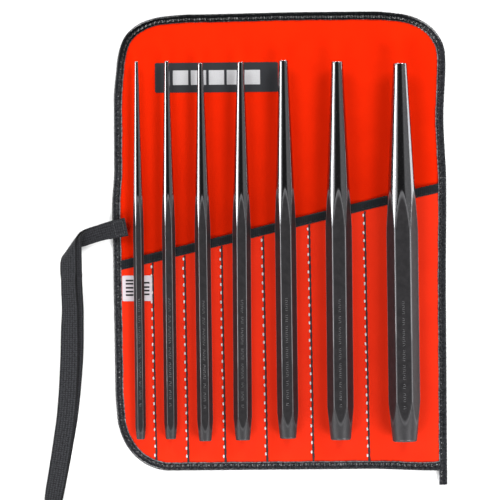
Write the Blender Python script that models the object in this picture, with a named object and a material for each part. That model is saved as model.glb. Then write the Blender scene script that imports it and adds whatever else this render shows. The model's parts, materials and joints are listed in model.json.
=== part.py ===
"""Seven long taper punches lying on an open tool roll.

The roll lies flat and open, +Z up, with the punches' points towards +Y. The origin is under the
middle of the roll, on the surface it lies on. Lengths are in metres.

The roll is a back sheet with a second sheet in front of its lower part. Six rows of stitching
divide the front sheet into seven pockets, and the roll folds along those rows, so each pocket is
one rigid panel here. Panel 1 carries the tie strap and is the root; every further panel hangs on
the one before it.
"""

import math

import bpy
from mathutils import Matrix, Vector

MM = 0.001
GAP = 0.3 * MM

# The roll's outline: a rectangle with three round corners. The binding tape of the right side
# runs on past the square bottom right corner.
WIDTH = 228.6 * MM
LENGTH = 326.3 * MM
TAIL = 11.5 * MM
TOP_LEFT_RADIUS = 35.0 * MM
TOP_RIGHT_RADIUS = 29.0 * MM
BOTTOM_LEFT_RADIUS = 37.0 * MM
CORNER_STEPS = 9

# The layers, from the surface upwards: tape, back sheet, pocket sheet, tape.
SHEET = 0.6 * MM
TAPE = 0.5 * MM
BINDING_WIDTH = 5.7 * MM
BACK_Z = TAPE + GAP
POCKET_Z = BACK_Z + SHEET + GAP
HEM_Z = POCKET_Z + SHEET + GAP
STACK_HEIGHT = HEM_Z + TAPE

# The pockets' slanted upper edge, and the rows of stitching between the pockets.
HEM_MIDDLE_Y = 18.4 * MM
HEM_ANGLE = math.radians(13.3)
HEM_WIDTH = 5.6 * MM
FOLD_X = [x * MM for x in (-86.95, -64.85, -39.2, -10.4, 21.45, 59.9)]
FOLD_Y = -70.0 * MM
FOLD_LEAN = math.radians(0.55)
FOLD_AXIS_Z = STACK_HEIGHT + 0.1 * MM

# The sewn patch above the pockets, and the woven label on the first pocket.
PATCH_CENTRE = (-42.5 * MM, 119.1 * MM)
PATCH_SIZE = (84.9 * MM, 20.5 * MM)
LABEL_CENTRE = (-98.1 * MM, -25.9 * MM)
LABEL_SIZE = (20.2 * MM, 17.6 * MM)
TRIM = 0.3 * MM

# The punches: hexagonal bar with a long ground taper to the point and a short one to the struck
# end. Each row gives the width across flats and the point's diameter, then where the middle of
# the struck end lies and how far the punch leans from +Y towards -X.
INCH = 25.4 * MM
PUNCH_LENGTH = 10.25 * INCH
TAPER_LENGTH = 116.0 * MM
STRUCK_DIAMETER = 0.77
STRUCK_SLOPE = 0.19
POINT_EDGE = 0.3 * MM
STRUCK_EDGE = 0.07
TURNED_SIDES = 36
PUNCHES = [
    (1 / 4 * INCH, 3 / 32 * INCH, -96.9 * MM, -129.9 * MM, 0.17),
    (5 / 16 * INCH, 1 / 8 * INCH, -76.1 * MM, -129.9 * MM, 0.16),
    (3 / 8 * INCH, 5 / 32 * INCH, -52.5 * MM, -131.5 * MM, 0.28),
    (7 / 16 * INCH, 3 / 16 * INCH, -26.3 * MM, -131.1 * MM, -0.12),
    (1 / 2 * INCH, 1 / 4 * INCH, 4.5 * MM, -130.2 * MM, 0.22),
    (5 / 8 * INCH, 5 / 16 * INCH, 40.9 * MM, -131.4 * MM, 0.08),
    (3 / 4 * INCH, 3 / 8 * INCH, 84.8 * MM, -133.0 * MM, 0.25),
]
PUNCH_Z = STACK_HEIGHT + GAP

# The tie strap: one length of webbing sewn to the left binding at its middle, so that two tails
# leave together, the lower one under the upper one. Each point of the route is the middle of the
# upper tail and its lean in degrees, where 90 stands on edge with the left of travel upwards.
# The last number is how far the lower tail shows on the left of travel.
STRAP_WIDTH = 12.7 * MM
STRAP_THICKNESS = 1.2 * MM
STRAP_ROUTE = [
    (-105.3, 16.6, 5.5, 0, 0.0),
    (-110.0, 15.7, 5.5, 0, 0.0),
    (-114.8, 14.8, 5.5, 0, 0.0),
    (-118.5, 14.1, 5.3, 2, 0.2),
    (-124.0, 13.0, 4.6, 8, 0.5),
    (-130.0, 11.2, 5.2, 20, 0.8),
    (-135.2, 8.6, 6.8, 42, 0.8),
    (-139.2, 5.0, 8.2, 62, 0.8),
    (-142.4, 0.4, 8.5, 66, 0.8),
    (-144.6, -5.6, 7.8, 54, 1.2),
    (-145.5, -13.2, 6.4, 36, 1.8),
    (-145.4, -23.2, 5.4, 26, 2.4),
    (-145.0, -35.0, 4.6, 19, 3.0),
    (-145.0, -47.4, 4.2, 15, 3.4),
    (-145.2, -61.0, 3.7, 11, 3.4),
    (-145.7, -75.0, 3.4, 8, 3.0),
    (-146.3, -89.0, 3.0, 5, 2.6),
    (-147.2, -102.6, 2.7, 2, 2.2),
    (-148.6, -116.0, 2.5, 0, 1.8),
    (-150.6, -129.5, 2.5, 0, 1.4),
    (-152.8, -143.5, 2.5, 0, 1.0),
    (-155.3, -158.0, 2.7, 3, 0.6),
    (-157.7, -171.0, 4.4, 20, 0.2),
    (-159.3, -181.0, 7.4, 60, 0.0),
    (-160.0, -191.0, 8.0, 90, 0.0),
]
ROLL_CENTRE = (-135.0 * MM, -205.0 * MM)
ROLL_RADIUS = 26.0 * MM
ROLL_HOLE_RADIUS = 8.0 * MM
ROLL_SIDES = 32


def clear_scene():
    for old in list(bpy.data.objects):
        bpy.data.objects.remove(old, do_unlink=True)


def make_material(name, colour, roughness, metallic=0.0):
    material = bpy.data.materials.new(name)
    material.use_nodes = True
    shader = material.node_tree.nodes["Principled BSDF"]
    shader.inputs["Base Color"].default_value = (*colour, 1.0)
    shader.inputs["Roughness"].default_value = roughness
    shader.inputs["Metallic"].default_value = metallic
    return material


def make_empty(name, location, parent=None):
    empty = bpy.data.objects.new(name, None)
    bpy.context.collection.objects.link(empty)
    empty["world"] = location
    hang(empty, location, parent)
    return empty


def hang(thing, location, parent):
    """Place a thing at a world location, under a parent that is itself only moved, not turned."""
    thing.location = Vector(location)
    if parent:
        thing.parent = parent
        thing.location -= Vector(parent["world"])


def make_solid(name, points, faces, material, parent, origin=None):
    """A node from points in world coordinates. Its origin is its parent's, or the one given."""
    origin = Vector(origin or parent["world"])
    mesh = bpy.data.meshes.new(name)
    mesh.from_pydata([Vector(point) - origin for point in points], [], faces)
    mesh.materials.append(material)
    mesh.shade_smooth()
    mesh.set_sharp_from_angle(angle=math.radians(30))
    solid = bpy.data.objects.new(name, mesh)
    bpy.context.collection.objects.link(solid)
    hang(solid, origin, parent)
    return solid


def loft(rings):
    """Points and faces of a closed solid through rings of the same number of points."""
    count = len(rings[0])
    points = [point for ring in rings for point in ring]
    faces = [tuple(reversed(range(count)))]
    for start in range(0, count * (len(rings) - 1), count):
        for i in range(count):
            j = (i + 1) % count
            faces.append((start + i, start + j, start + count + j, start + count + i))
    faces.append(tuple(range(len(points) - count, len(points))))
    return points, faces


def prism(outline, low, high):
    """A flat plate from an anticlockwise outline and two heights."""
    return loft([[(x, y, z) for x, y in outline] for z in (low, high)])


# ---------------------------------------------------------------- the roll's plan


def arc(centre, radius, start_degrees):
    """Points and outward normals along a quarter of a circle, anticlockwise."""
    for step in range(CORNER_STEPS + 1):
        angle = math.radians(start_degrees + 90 * step / CORNER_STEPS)
        normal = Vector((math.cos(angle), math.sin(angle)))
        yield Vector(centre) + normal * radius, normal


def outline_path():
    """The outer edge as (point, outward normal), anticlockwise from the tail's end."""
    right = WIDTH / 2
    top = LENGTH / 2
    bottom = TAIL - LENGTH / 2
    path = [(Vector((right, -LENGTH / 2)), Vector((1, 0)))]
    path += arc((right - TOP_RIGHT_RADIUS, top - TOP_RIGHT_RADIUS), TOP_RIGHT_RADIUS, 0)
    path += arc((TOP_LEFT_RADIUS - right, top - TOP_LEFT_RADIUS), TOP_LEFT_RADIUS, 90)
    path += arc(
        (BOTTOM_LEFT_RADIUS - right, bottom + BOTTOM_LEFT_RADIUS), BOTTOM_LEFT_RADIUS, 180
    )
    path.append((Vector((right - BINDING_WIDTH - GAP, bottom)), Vector((0, -1))))
    return path


def sheet_outline(inset):
    """The roll's outline moved inwards, without the tail, as an anticlockwise polygon."""
    path = outline_path()[1:-1]
    corner = Vector((WIDTH / 2 - inset, TAIL - LENGTH / 2 + inset))
    return [corner] + [point - normal * inset for point, normal in path]


def clip(polygon, point, direction):
    """The part of a convex polygon on the left of a line through point along direction."""

    def side(corner):
        return direction.x * (corner.y - point.y) - direction.y * (corner.x - point.x)

    kept = []
    for first, second in zip(polygon, polygon[1:] + polygon[:1]):
        a = side(first)
        b = side(second)
        if a >= 0:
            kept.append(first)
        if a * b < 0:
            kept.append(first.lerp(second, a / (a - b)))
    return kept


def fold_direction():
    return Vector((-math.sin(FOLD_LEAN), math.cos(FOLD_LEAN)))


def fold_point(fold):
    return Vector((FOLD_X[fold - 1], FOLD_Y))


def fold_edge(fold, side):
    """A line half a gap beside a fold, on its right for side 1 and on its left for side -1."""
    along = fold_direction()
    return fold_point(fold) + Vector((along.y, -along.x)) * side * GAP / 2, along


def clip_to_panel(polygon, panel):
    """Keep what lies between a panel's two fold lines."""
    if panel > 1:
        point, along = fold_edge(panel - 1, 1)
        polygon = clip(polygon, point, -along)
    if panel < 7:
        polygon = clip(polygon, *fold_edge(panel, -1))
    return polygon


def rectangle(centre, size):
    x, y = centre
    half_width, half_height = size[0] / 2, size[1] / 2
    return [
        Vector((x - half_width, y - half_height)),
        Vector((x + half_width, y - half_height)),
        Vector((x + half_width, y + half_height)),
        Vector((x - half_width, y + half_height)),
    ]


# ---------------------------------------------------------------- sheets, hems and bindings


def add_sheets(panel, parent, vinyl):
    outline = sheet_outline(TAPE + GAP)
    back = clip_to_panel(outline, panel)
    make_solid(f"back_panel_{panel}", *prism(back, BACK_Z, BACK_Z + SHEET), vinyl, parent)
    along_hem = Vector((math.cos(HEM_ANGLE), math.sin(HEM_ANGLE)))
    below_hem = Vector((along_hem.y, -along_hem.x))
    edge = Vector((0, HEM_MIDDLE_Y)) + below_hem * (TAPE + GAP)
    pocket = clip_to_panel(clip(outline, edge, -along_hem), panel)
    make_solid(f"pocket_{panel}", *prism(pocket, POCKET_Z, POCKET_Z + SHEET), vinyl, parent)


def meet(point, direction, other_point, other_direction):
    """Where two lines in the plan cross."""
    across = direction.x * other_direction.y - direction.y * other_direction.x
    apart = other_point - point
    along = (apart.x * other_direction.y - apart.y * other_direction.x) / across
    return point + direction * along


def add_hem(panel, parent, tape):
    """The tape over a pocket's upper edge: a flange on top and a lip down its front."""
    section = [
        (0, POCKET_Z),
        (0, STACK_HEIGHT),
        (HEM_WIDTH, STACK_HEIGHT),
        (HEM_WIDTH, HEM_Z),
        (TAPE, HEM_Z),
        (TAPE, POCKET_Z),
    ]
    along_hem = Vector((math.cos(HEM_ANGLE), math.sin(HEM_ANGLE)))
    below_hem = Vector((along_hem.y, -along_hem.x))
    inner_edge = WIDTH / 2 - BINDING_WIDTH - GAP
    left = fold_edge(panel - 1, 1) if panel > 1 else (Vector((-inner_edge, 0)), Vector((0, 1)))
    right = fold_edge(panel, -1) if panel < 7 else (Vector((inner_edge, 0)), Vector((0, 1)))
    rings = []
    for end_point, end_direction in (left, right):
        ring = []
        for depth, height in section:
            edge = Vector((0, HEM_MIDDLE_Y)) + below_hem * depth
            place = meet(edge, along_hem, end_point, end_direction)
            ring.append((*place, height))
        rings.append(ring)
    make_solid(f"pocket_hem_{panel}", *loft(rings), tape, parent)


def cross_fold(path, fold, upper):
    """Distance along the outline at which it crosses a fold line, above or below the middle."""
    along = fold_direction()
    travelled = 0.0
    for (first, _), (second, _) in zip(path, path[1:]):
        a, b = (along.cross(corner - fold_point(fold)) for corner in (first, second))
        if a * b < 0 and (first.y > 0) == upper:
            return travelled + (second - first).length * a / (a - b)
        travelled += (second - first).length
    raise ValueError("the outline never crosses this fold")


def stretch(path, start, end):
    """The stations of a path from one distance along it to another."""
    stations = []
    travelled = 0.0
    for (first, first_normal), (second, second_normal) in zip(path, path[1:]):
        length = (second - first).length
        if length < GAP:
            continue
        marks = [max(start - travelled, 0.0), min(end - travelled, length)]
        if marks[0] < marks[1]:
            for mark in marks[len(stations) > 0:]:
                share = mark / length
                normal = first_normal.lerp(second_normal, share).normalized()
                stations.append((first.lerp(second, share), normal))
        travelled += length
    ends = (stations[0][0], stations[-1][0])
    clear = [s for s in stations[1:-1] if min((s[0] - end).length for end in ends) > 3 * MM]
    return [stations[0], *clear, stations[-1]]


def add_binding(name, span, cuts, tape, parent):
    """A channel of tape folded round the sheets' edge, between two distances on the outline.
    Each end is cut along a line beside a fold, or square where there is no fold."""
    section = [
        (0, 0),
        (BINDING_WIDTH, 0),
        (BINDING_WIDTH, TAPE),
        (TAPE, TAPE),
        (TAPE, HEM_Z),
        (BINDING_WIDTH, HEM_Z),
        (BINDING_WIDTH, STACK_HEIGHT),
        (0, STACK_HEIGHT),
    ]
    stations = stretch(outline_path(), *span)
    rings = []
    for index, (point, normal) in enumerate(stations):
        cut = {0: cuts[0], len(stations) - 1: cuts[1]}.get(index)
        tangent = Vector((-normal.y, normal.x))
        ring = []
        for depth, height in section:
            place = point - normal * depth
            if cut:
                place = meet(place, tangent, *cut)
            ring.append((*place, height))
        rings.append(ring)
    make_solid(name, *loft(rings), tape, parent)


def add_bindings(panels, tape):
    path = outline_path()
    total = sum((b - a).length for (a, _), (b, _) in zip(path, path[1:]))
    top = [0.0] + [cross_fold(path, fold, True) for fold in range(1, 7)]
    bottom = [0.0] + [cross_fold(path, fold, False) for fold in range(1, 7)] + [total]
    cuts = (fold_edge(1, -1), fold_edge(1, -1))
    add_binding("left_binding", (top[1], bottom[1]), cuts, tape, panels[1])
    for panel in range(2, 7):
        span = (top[panel], top[panel - 1])
        cuts = (fold_edge(panel, -1), fold_edge(panel - 1, 1))
        add_binding(f"top_binding_{panel}", span, cuts, tape, panels[panel])
    for panel in range(2, 8):
        span = (bottom[panel - 1], bottom[panel])
        cuts = (fold_edge(panel - 1, 1), fold_edge(panel, -1) if panel < 7 else None)
        add_binding(f"bottom_binding_{panel}", span, cuts, tape, panels[panel])
    span = (0.0, top[6])
    add_binding("right_binding", span, (None, fold_edge(6, 1)), tape, panels[7])


def add_trim(panels, patch_material, label_material):
    patch_z = BACK_Z + SHEET + GAP
    for panel in range(2, 6):
        piece = clip_to_panel(rectangle(PATCH_CENTRE, PATCH_SIZE), panel)
        solid = prism(piece, patch_z, patch_z + TRIM)
        make_solid(f"patch_{panel}", *solid, patch_material, panels[panel])
    label_z = POCKET_Z + SHEET + GAP
    label = prism(rectangle(LABEL_CENTRE, LABEL_SIZE), label_z, label_z + TRIM)
    make_solid("pocket_label", *label, label_material, panels[1])


# ---------------------------------------------------------------- the punches


def hexagon(across_flats, height):
    """A ring of six points round +Y, with a flat facing up."""
    radius = across_flats / math.sqrt(3)
    corners = [math.radians(60 * corner) for corner in range(6)]
    return [(radius * math.cos(a), height, -radius * math.sin(a)) for a in corners]


def turned_ring(radius, height):
    angles = [math.tau * (side + 0.5) / TURNED_SIDES for side in range(TURNED_SIDES)]
    return [(radius * math.cos(a), height, -radius * math.sin(a)) for a in angles]


def add_punch(number, parent, steel):
    """The bar is cut by a turned guide that holds both tapers. Its origin is in the struck end."""
    across_flats, point, x, y, lean = PUNCHES[number - 1]
    corners = 2 * across_flats / math.sqrt(3)
    location = Vector((x, y, PUNCH_Z + across_flats / 2))
    bar_rings = [hexagon(across_flats, -MM), hexagon(across_flats, PUNCH_LENGTH + MM)]
    bar = [[Vector(corner) + location for corner in ring] for ring in bar_rings]
    punch = make_solid(f"taper_punch_{number}", *loft(bar), steel, parent, location)

    clear = 1.15 * corners
    struck_radius = STRUCK_DIAMETER * corners / 2
    edge = STRUCK_EDGE * corners
    taper_slope = (corners - point) / TAPER_LENGTH
    profile = [
        (struck_radius - edge, 0.0),
        (struck_radius - 0.3 * edge, 0.3 * edge),
        (struck_radius, edge),
        (clear / 2, edge + (clear / 2 - struck_radius) * 2 / STRUCK_SLOPE),
        (clear / 2, PUNCH_LENGTH - (clear - point) / taper_slope),
        (point / 2, PUNCH_LENGTH - POINT_EDGE),
        (point / 2 - POINT_EDGE, PUNCH_LENGTH),
    ]
    rings = [turned_ring(radius, height) for radius, height in profile]
    guide_points = [[Vector(corner) + location for corner in ring] for ring in rings]
    guide = make_solid(f"guide_{number}", *loft(guide_points), steel, parent, location)
    guide.hide_render = True
    guide.display_type = "WIRE"
    for thing in (punch, guide):
        thing.rotation_euler = (0, 0, math.radians(lean))

    cut = punch.modifiers.new("tapers", "BOOLEAN")
    cut.operation = "INTERSECT"
    cut.solver = "EXACT"
    cut.object = guide


# ---------------------------------------------------------------- the tie strap


def smooth_route():
    """Places of the upper tail on a smooth curve through the route's own points."""
    stations = []
    last = len(STRAP_ROUTE) - 1
    for index in range(last):
        before, first, second, after = (
            STRAP_ROUTE[min(max(index + step, 0), last)] for step in (-1, 0, 1, 2)
        )
        for share in (0.0, 0.5):
            stations.append([
                0.5 * (
                    2 * b
                    + (c - a) * share
                    + (2 * a - 5 * b + 4 * c - d) * share**2
                    + (3 * b - a - 3 * c + d) * share**3
                )
                for a, b, c, d in zip(before, first, second, after)
            ])
    stations.append(STRAP_ROUTE[-1])
    return stations


def tail_ring(centre, across, normal):
    half_width = across * STRAP_WIDTH / 2
    half_thickness = normal * STRAP_THICKNESS / 2
    return [
        centre - half_width - half_thickness,
        centre + half_width - half_thickness,
        centre + half_width + half_thickness,
        centre - half_width + half_thickness,
    ]


def add_strap(parent, webbing):
    stations = smooth_route()
    rings = {"upper": [], "lower": []}
    for index, (x, y, z, lean, shift) in enumerate(stations):
        before = stations[max(index - 1, 0)]
        after = stations[min(index + 1, len(stations) - 1)]
        travel = Vector((after[0] - before[0], after[1] - before[1], 0)).normalized()
        outward = travel.cross(Vector((0, 0, 1)))
        angle = math.radians(lean)
        normal = Vector((0, 0, 1)) * math.cos(angle) + outward * math.sin(angle)
        across = outward * math.cos(angle) - Vector((0, 0, 1)) * math.sin(angle)
        centre = Vector((x, y, z)) * MM
        under = centre - normal * (STRAP_THICKNESS + GAP) - outward * shift * MM
        rings["upper"].append(tail_ring(centre, across, normal))
        rings["lower"].append(tail_ring(under, across, normal))
    for tail, tail_rings in rings.items():
        tail_rings = [list(reversed(ring)) for ring in tail_rings]
        make_solid(f"tie_strap_{tail}", *loft(tail_rings), webbing, parent)


def add_strap_roll(parent, webbing):
    """The outer shape of both tails' far stretch, rolled up loosely and lying on edge."""
    x, y = ROLL_CENTRE
    low, high = GAP, GAP + STRAP_WIDTH
    section = [
        (ROLL_HOLE_RADIUS, low),
        (ROLL_RADIUS, low),
        (ROLL_RADIUS, high),
        (ROLL_HOLE_RADIUS, high),
    ]
    points = []
    faces = []
    count = len(section)
    for side in range(ROLL_SIDES):
        angle = math.tau * side / ROLL_SIDES
        turned = Matrix.Rotation(angle, 4, "Z")
        points += [turned @ Vector((radius, 0, z)) + Vector((x, y, 0)) for radius, z in section]
        start = side * count
        following = (side + 1) % ROLL_SIDES * count
        for i in range(count):
            j = (i + 1) % count
            faces.append((start + i, following + i, following + j, start + j))
    make_solid("tie_strap_roll", points, faces, webbing, parent)


def main():
    clear_scene()
    vinyl = make_material("red vinyl", (0.86, 0.03, 0.004), 0.42)
    tape = make_material("black binding", (0.018, 0.018, 0.021), 0.5)
    webbing = make_material("black webbing", (0.035, 0.037, 0.042), 0.9)
    patch = make_material("charcoal patch", (0.022, 0.022, 0.026), 0.6)
    label = make_material("white label", (0.75, 0.74, 0.71), 0.8)
    steel = make_material("black steel", (0.03, 0.03, 0.032), 0.32, metallic=1.0)

    panels = {1: make_empty("panel_1_base", (0, 0, 0))}
    for fold in range(1, 7):
        place = (*fold_point(fold), FOLD_AXIS_Z)
        panels[fold + 1] = make_empty(f"fold_{fold}_axis", place, panels[fold])
    for panel in range(1, 8):
        add_sheets(panel, panels[panel], vinyl)
        add_hem(panel, panels[panel], tape)
        add_punch(panel, panels[panel], steel)
    add_bindings(panels, tape)
    add_trim(panels, patch, label)
    add_strap(panels[1], webbing)
    add_strap_roll(panels[1], webbing)


main()
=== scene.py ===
"""The looks of a tool roll with seven long taper punches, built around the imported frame.

Lengths are in metres unless a name ends in _MM. Every mesh carries a UV map that holds each
point's place on its flat material in millimetres, so that grain, weave and print follow the
fabric when it bends.
"""

import json
from math import ceil, cos, dist, pi, radians, sin, sqrt, tan, tau

import bmesh
import bpy
import numpy as np
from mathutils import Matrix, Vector


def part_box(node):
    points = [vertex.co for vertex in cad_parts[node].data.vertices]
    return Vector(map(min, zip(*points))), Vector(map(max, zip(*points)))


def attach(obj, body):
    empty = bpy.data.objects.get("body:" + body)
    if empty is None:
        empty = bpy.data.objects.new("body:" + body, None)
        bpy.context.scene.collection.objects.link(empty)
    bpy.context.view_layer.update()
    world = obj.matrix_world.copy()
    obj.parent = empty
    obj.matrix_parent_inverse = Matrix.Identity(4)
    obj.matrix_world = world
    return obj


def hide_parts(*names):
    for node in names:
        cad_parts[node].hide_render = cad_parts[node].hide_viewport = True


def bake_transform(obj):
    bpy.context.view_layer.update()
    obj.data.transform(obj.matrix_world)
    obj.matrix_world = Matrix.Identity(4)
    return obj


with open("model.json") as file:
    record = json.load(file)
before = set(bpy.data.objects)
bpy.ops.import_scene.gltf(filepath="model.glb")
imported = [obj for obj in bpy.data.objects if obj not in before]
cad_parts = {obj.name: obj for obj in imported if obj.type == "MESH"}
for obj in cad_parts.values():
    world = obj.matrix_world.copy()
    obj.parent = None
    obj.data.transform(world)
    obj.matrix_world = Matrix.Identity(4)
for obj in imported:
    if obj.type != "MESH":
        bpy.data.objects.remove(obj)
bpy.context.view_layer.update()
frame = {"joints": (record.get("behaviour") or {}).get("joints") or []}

MM = 0.001
HINGES = [joint for joint in frame["joints"] if joint["type"] == "hinge"]
SLIDES = [joint for joint in frame["joints"] if joint["type"] == "slide"]
FOLDS = len(HINGES)
PANELS = FOLDS + 1
STRIPS = range(1, PANELS)
UP = Vector((0, 0, 1))

# -------- sizes, from the frame

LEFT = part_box("left_binding")[0].x
RIGHT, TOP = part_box("right_binding")[1].xy
TAIL_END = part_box("right_binding")[0].y
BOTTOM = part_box("bottom_binding_6")[0].y
BINDING_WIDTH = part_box("bottom_binding_6")[1].y - BOTTOM
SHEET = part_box("back_panel_4")[1].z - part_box("back_panel_4")[0].z
BACK_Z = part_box("back_panel_4")[0].z + SHEET / 2
PUNCH_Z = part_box("taper_punch_4")[0].z
TOP_LEFT_RADIUS = 35.0 * MM
TOP_RIGHT_RADIUS = 29.0 * MM
BOTTOM_LEFT_RADIUS = 37.0 * MM
SHEET_INSET = 1.2 * MM
HEM_WIDTH = 5.6 * MM
HEM_ANGLE = radians(13.3)
HEM_MIDDLE_Y = 18.4 * MM
TAPE = 0.45 * MM

STRAP_WIDTH = 12.7 * MM
STRAP_THICKNESS = 1.2 * MM
STRAP_AROUND = 2 * (STRAP_WIDTH + 0.55 * STRAP_THICKNESS)
# The colour of the painted shade along the webbing's edges.
PAINTED_EDGE_SHADE = (0.0015, 0.0015, 0.002)

# The binding tape looks flattest, with the faintest painted highlights on its grain and inner edge,
# near this distance along the outline.
TAPE_TOP_MM = 445.0

# The fabric's level: it sags onto the surface in the middle, and each pocket swells up to its punch.
SAG_Z = 0.45 * MM
POCKET_TOP_Z = PUNCH_Z - 0.45 * MM
SWELL_INSET = 3.5 * MM
SEAM_PITCH = 5.9 * MM
EDGE_PITCH = 3.7 * MM

# -------- camera

VIEW_WIDTH = 345.0 * MM
VIEW_CENTRE = (-20.4 * MM, -0.15 * MM)
CAMERA_HEIGHT = 4.0
CAMERA_TURN = radians(-0.5)


def place_object(name, data):
    thing = bpy.data.objects.new(name, data)
    bpy.context.scene.collection.objects.link(thing)
    return thing


def add_camera():
    camera = bpy.data.cameras.new("camera")
    camera.sensor_width = 36.0
    camera.lens = camera.sensor_width * CAMERA_HEIGHT / VIEW_WIDTH
    camera.clip_end = 40.0
    thing = place_object("camera", camera)
    thing.location = (*VIEW_CENTRE, CAMERA_HEIGHT)
    thing.rotation_euler = (0, 0, CAMERA_TURN)
    bpy.context.scene.camera = thing


# -------- meshes and materials


def add_mesh(name, points, faces, uvs, material):
    """An object from points, faces and one (u, v) for each corner of each face, in order."""
    mesh = bpy.data.meshes.new(name)
    mesh.from_pydata([tuple(p) for p in points], [], faces)
    layer = mesh.uv_layers.new(name="flat_mm")
    layer.data.foreach_set("uv", np.asarray(uvs, np.float32).ravel())
    mesh.materials.append(material)
    mesh.shade_smooth()
    return place_object(name, mesh)


def grid_faces(rows, columns, first=0, around=False):
    """Faces of a grid of points, row by row. Around joins the last column to the first one."""
    corners = [
        [(i, j), (i + 1, j), (i + 1, j + 1), (i, j + 1)]
        for i in range(rows - 1) for j in range(columns if around else columns - 1)
    ]
    faces = [tuple(first + i * columns + j % columns for i, j in face) for face in corners]
    return faces, [corner for face in corners for corner in face]


def mark_rim_sharp(mesh):
    """Keep the shading of a sheet's face from curling over its edge, so that neighbours match."""
    shape = bmesh.new()
    shape.from_mesh(mesh)
    for edge in shape.edges:
        edge.smooth = not edge.is_boundary
    shape.to_mesh(mesh)
    shape.free()


def add_grid(name, points, flat, material, thickness):
    """A sheet over a grid of points, facing the side from which rows and columns turn left."""
    points = np.asarray(points, float)
    rows, columns = points.shape[:2]
    faces, corners = grid_faces(rows, columns)
    flat = np.asarray(flat, float)
    uvs = [flat[i, j] for i, j in corners]
    sheet = add_mesh(name, points.reshape(-1, 3), faces, uvs, material)
    mark_rim_sharp(sheet.data)
    solid = sheet.modifiers.new("thickness", "SOLIDIFY")
    solid.thickness = thickness
    solid.offset = 0.0
    return sheet


def add_tubes(name, tubes, material):
    """Closed solids, each from rings of points, anticlockwise when seen from the far end, and from
    rings of flat places, which have one more at the end to close the ring."""
    points, faces, uvs = [], [], []
    for rings, flat in tubes:
        first, rows, columns = len(points), len(rings), len(rings[0])
        points += [point for ring in rings for point in ring]
        around, corners = grid_faces(rows, columns, first, around=True)
        faces += [face[::-1] for face in around]
        for start in range(0, len(corners), 4):
            uvs += [flat[i][j] for i, j in corners[start:start + 4][::-1]]
        for row, turn in ((0, -1), (rows - 1, 1)):
            faces.append(tuple(range(first + row * columns, first + (row + 1) * columns))[::turn])
            uvs += [flat[row][column] for column in range(columns)][::turn]
    return add_mesh(name, points, faces, uvs, material)


class Look:
    """The nodes of a material or a world. Each method adds what it names and returns its output."""

    def __init__(self, name, kind="materials", shader="Principled BSDF", place="UV", **sockets):
        self.owner = getattr(bpy.data, kind).new(name)
        self.owner.use_nodes = True
        self.tree = self.owner.node_tree
        self.shader = self.tree.nodes[shader]
        self.place = self.node("TexCoord").outputs[place]
        self.x, self.y, self.z = self.node("SeparateXYZ", Vector=self.place).outputs
        self.fill(self.shader, sockets)

    def fill(self, node, sockets):
        """Set a node's inputs. A name's underscores stand for spaces, and i0 is the first input."""
        for name, value in sockets.items():
            socket = node.inputs[int(name[1:]) if name[1:].isdigit() else name.replace("_", " ")]
            if isinstance(value, bpy.types.NodeSocket):
                self.tree.links.new(value, socket)
            else:
                socket.default_value = (*value, 1.0) if isinstance(value, tuple) else value

    def node(self, kind, settings=(), **sockets):
        made = self.tree.nodes.new("ShaderNode" + kind)
        for name, value in dict(settings).items():
            setattr(made, name, value)
        self.fill(made, sockets)
        return made

    def maths(self, operation, *values):
        sockets = {f"i{place}": value for place, value in enumerate(values)}
        return self.node("Math", dict(operation=operation), **sockets).outputs[0]

    def times(self, first, second, added=0.0):
        return self.maths("MULTIPLY_ADD", first, second, added)

    def rise(self, value, start, end):
        return self.ramp(value, 0.0, 1.0, start, end)

    def ramp(self, value, low, high, start=0.0, end=1.0):
        """Map a value from start..end to low..high, smoothly and clamped."""
        return self.node(
            "MapRange", dict(interpolation_type="SMOOTHSTEP"),
            Value=value, From_Min=start, From_Max=end, To_Min=low, To_Max=high,
        ).outputs["Result"]

    def mix(self, share, first, second):
        """Two colours mixed by a share from 0 to 1."""
        return self.node("Mix", dict(data_type="RGBA"), Factor=share, i6=first, i7=second).outputs[2]

    def noise(self, scale, detail=3.0, roughness=0.55, place=None):
        return self.node(
            "TexNoise", Vector=place or self.place, Scale=scale, Detail=detail, Roughness=roughness
        ).outputs["Fac"]

    def stripes(self, scale, distortion, direction="X"):
        return self.node(
            "TexWave", dict(bands_direction=direction),
            Vector=self.place, Scale=scale, Distortion=distortion,
        ).outputs["Fac"]

    def weave(self, warp, weft, distortion):
        """Crossing yarns, from the scales of both."""
        return self.times(self.stripes(warp, distortion), self.stripes(weft, distortion, "Y"))

    def stored(self, name):
        """A number that is kept for each point of the mesh."""
        return self.node("Attribute", dict(attribute_name=name)).outputs["Fac"]

    def apart(self, value, middle):
        return self.maths("ABSOLUTE", self.maths("SUBTRACT", value, middle))

    def inside(self, value, middle, half):
        return self.ramp(self.apart(value, middle), 1.0, 0.0, half - PRINT_EDGE, half + PRINT_EDGE)

    def boxes(self, centre, boxes):
        """One in any of the printed boxes: (x, y, half width, half height) from a centre."""
        marks = 0.0
        for x, y, half_width, half_height in boxes:
            across = self.inside(self.x, centre.x + x, half_width)
            box = self.times(across, self.inside(self.y, centre.y + y, half_height))
            marks = self.maths("MAXIMUM", marks, box)
        return marks

    def finish(self, colour, height, depth_mm, strength, **sockets):
        """Give the shader its colour, its bump and any other sockets, and return the material."""
        bump = self.node("Bump", Height=height, Distance=depth_mm * MM, Strength=strength)
        self.fill(self.shader, dict(Base_Color=colour, Normal=bump.outputs["Normal"], **sockets))
        return self.owner


def make_vinyl(name, gloss, bright, dull):
    """Coated fabric: a fine grain over a faint weave, with soft changes of colour."""
    look = Look(name, Specular_IOR_Level=gloss)
    clouds = look.noise(0.035, 2.0)
    grain = look.noise(2.4, 4.0)
    height = look.times(look.weave(0.55, 0.55, 0.4), 0.25, grain)
    colour = look.mix(look.rise(clouds, 0.3, 0.7), bright, dull)
    return look.finish(colour, height, 0.03, 0.6, Roughness=look.ramp(grain, 0.38, 0.56))


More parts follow.
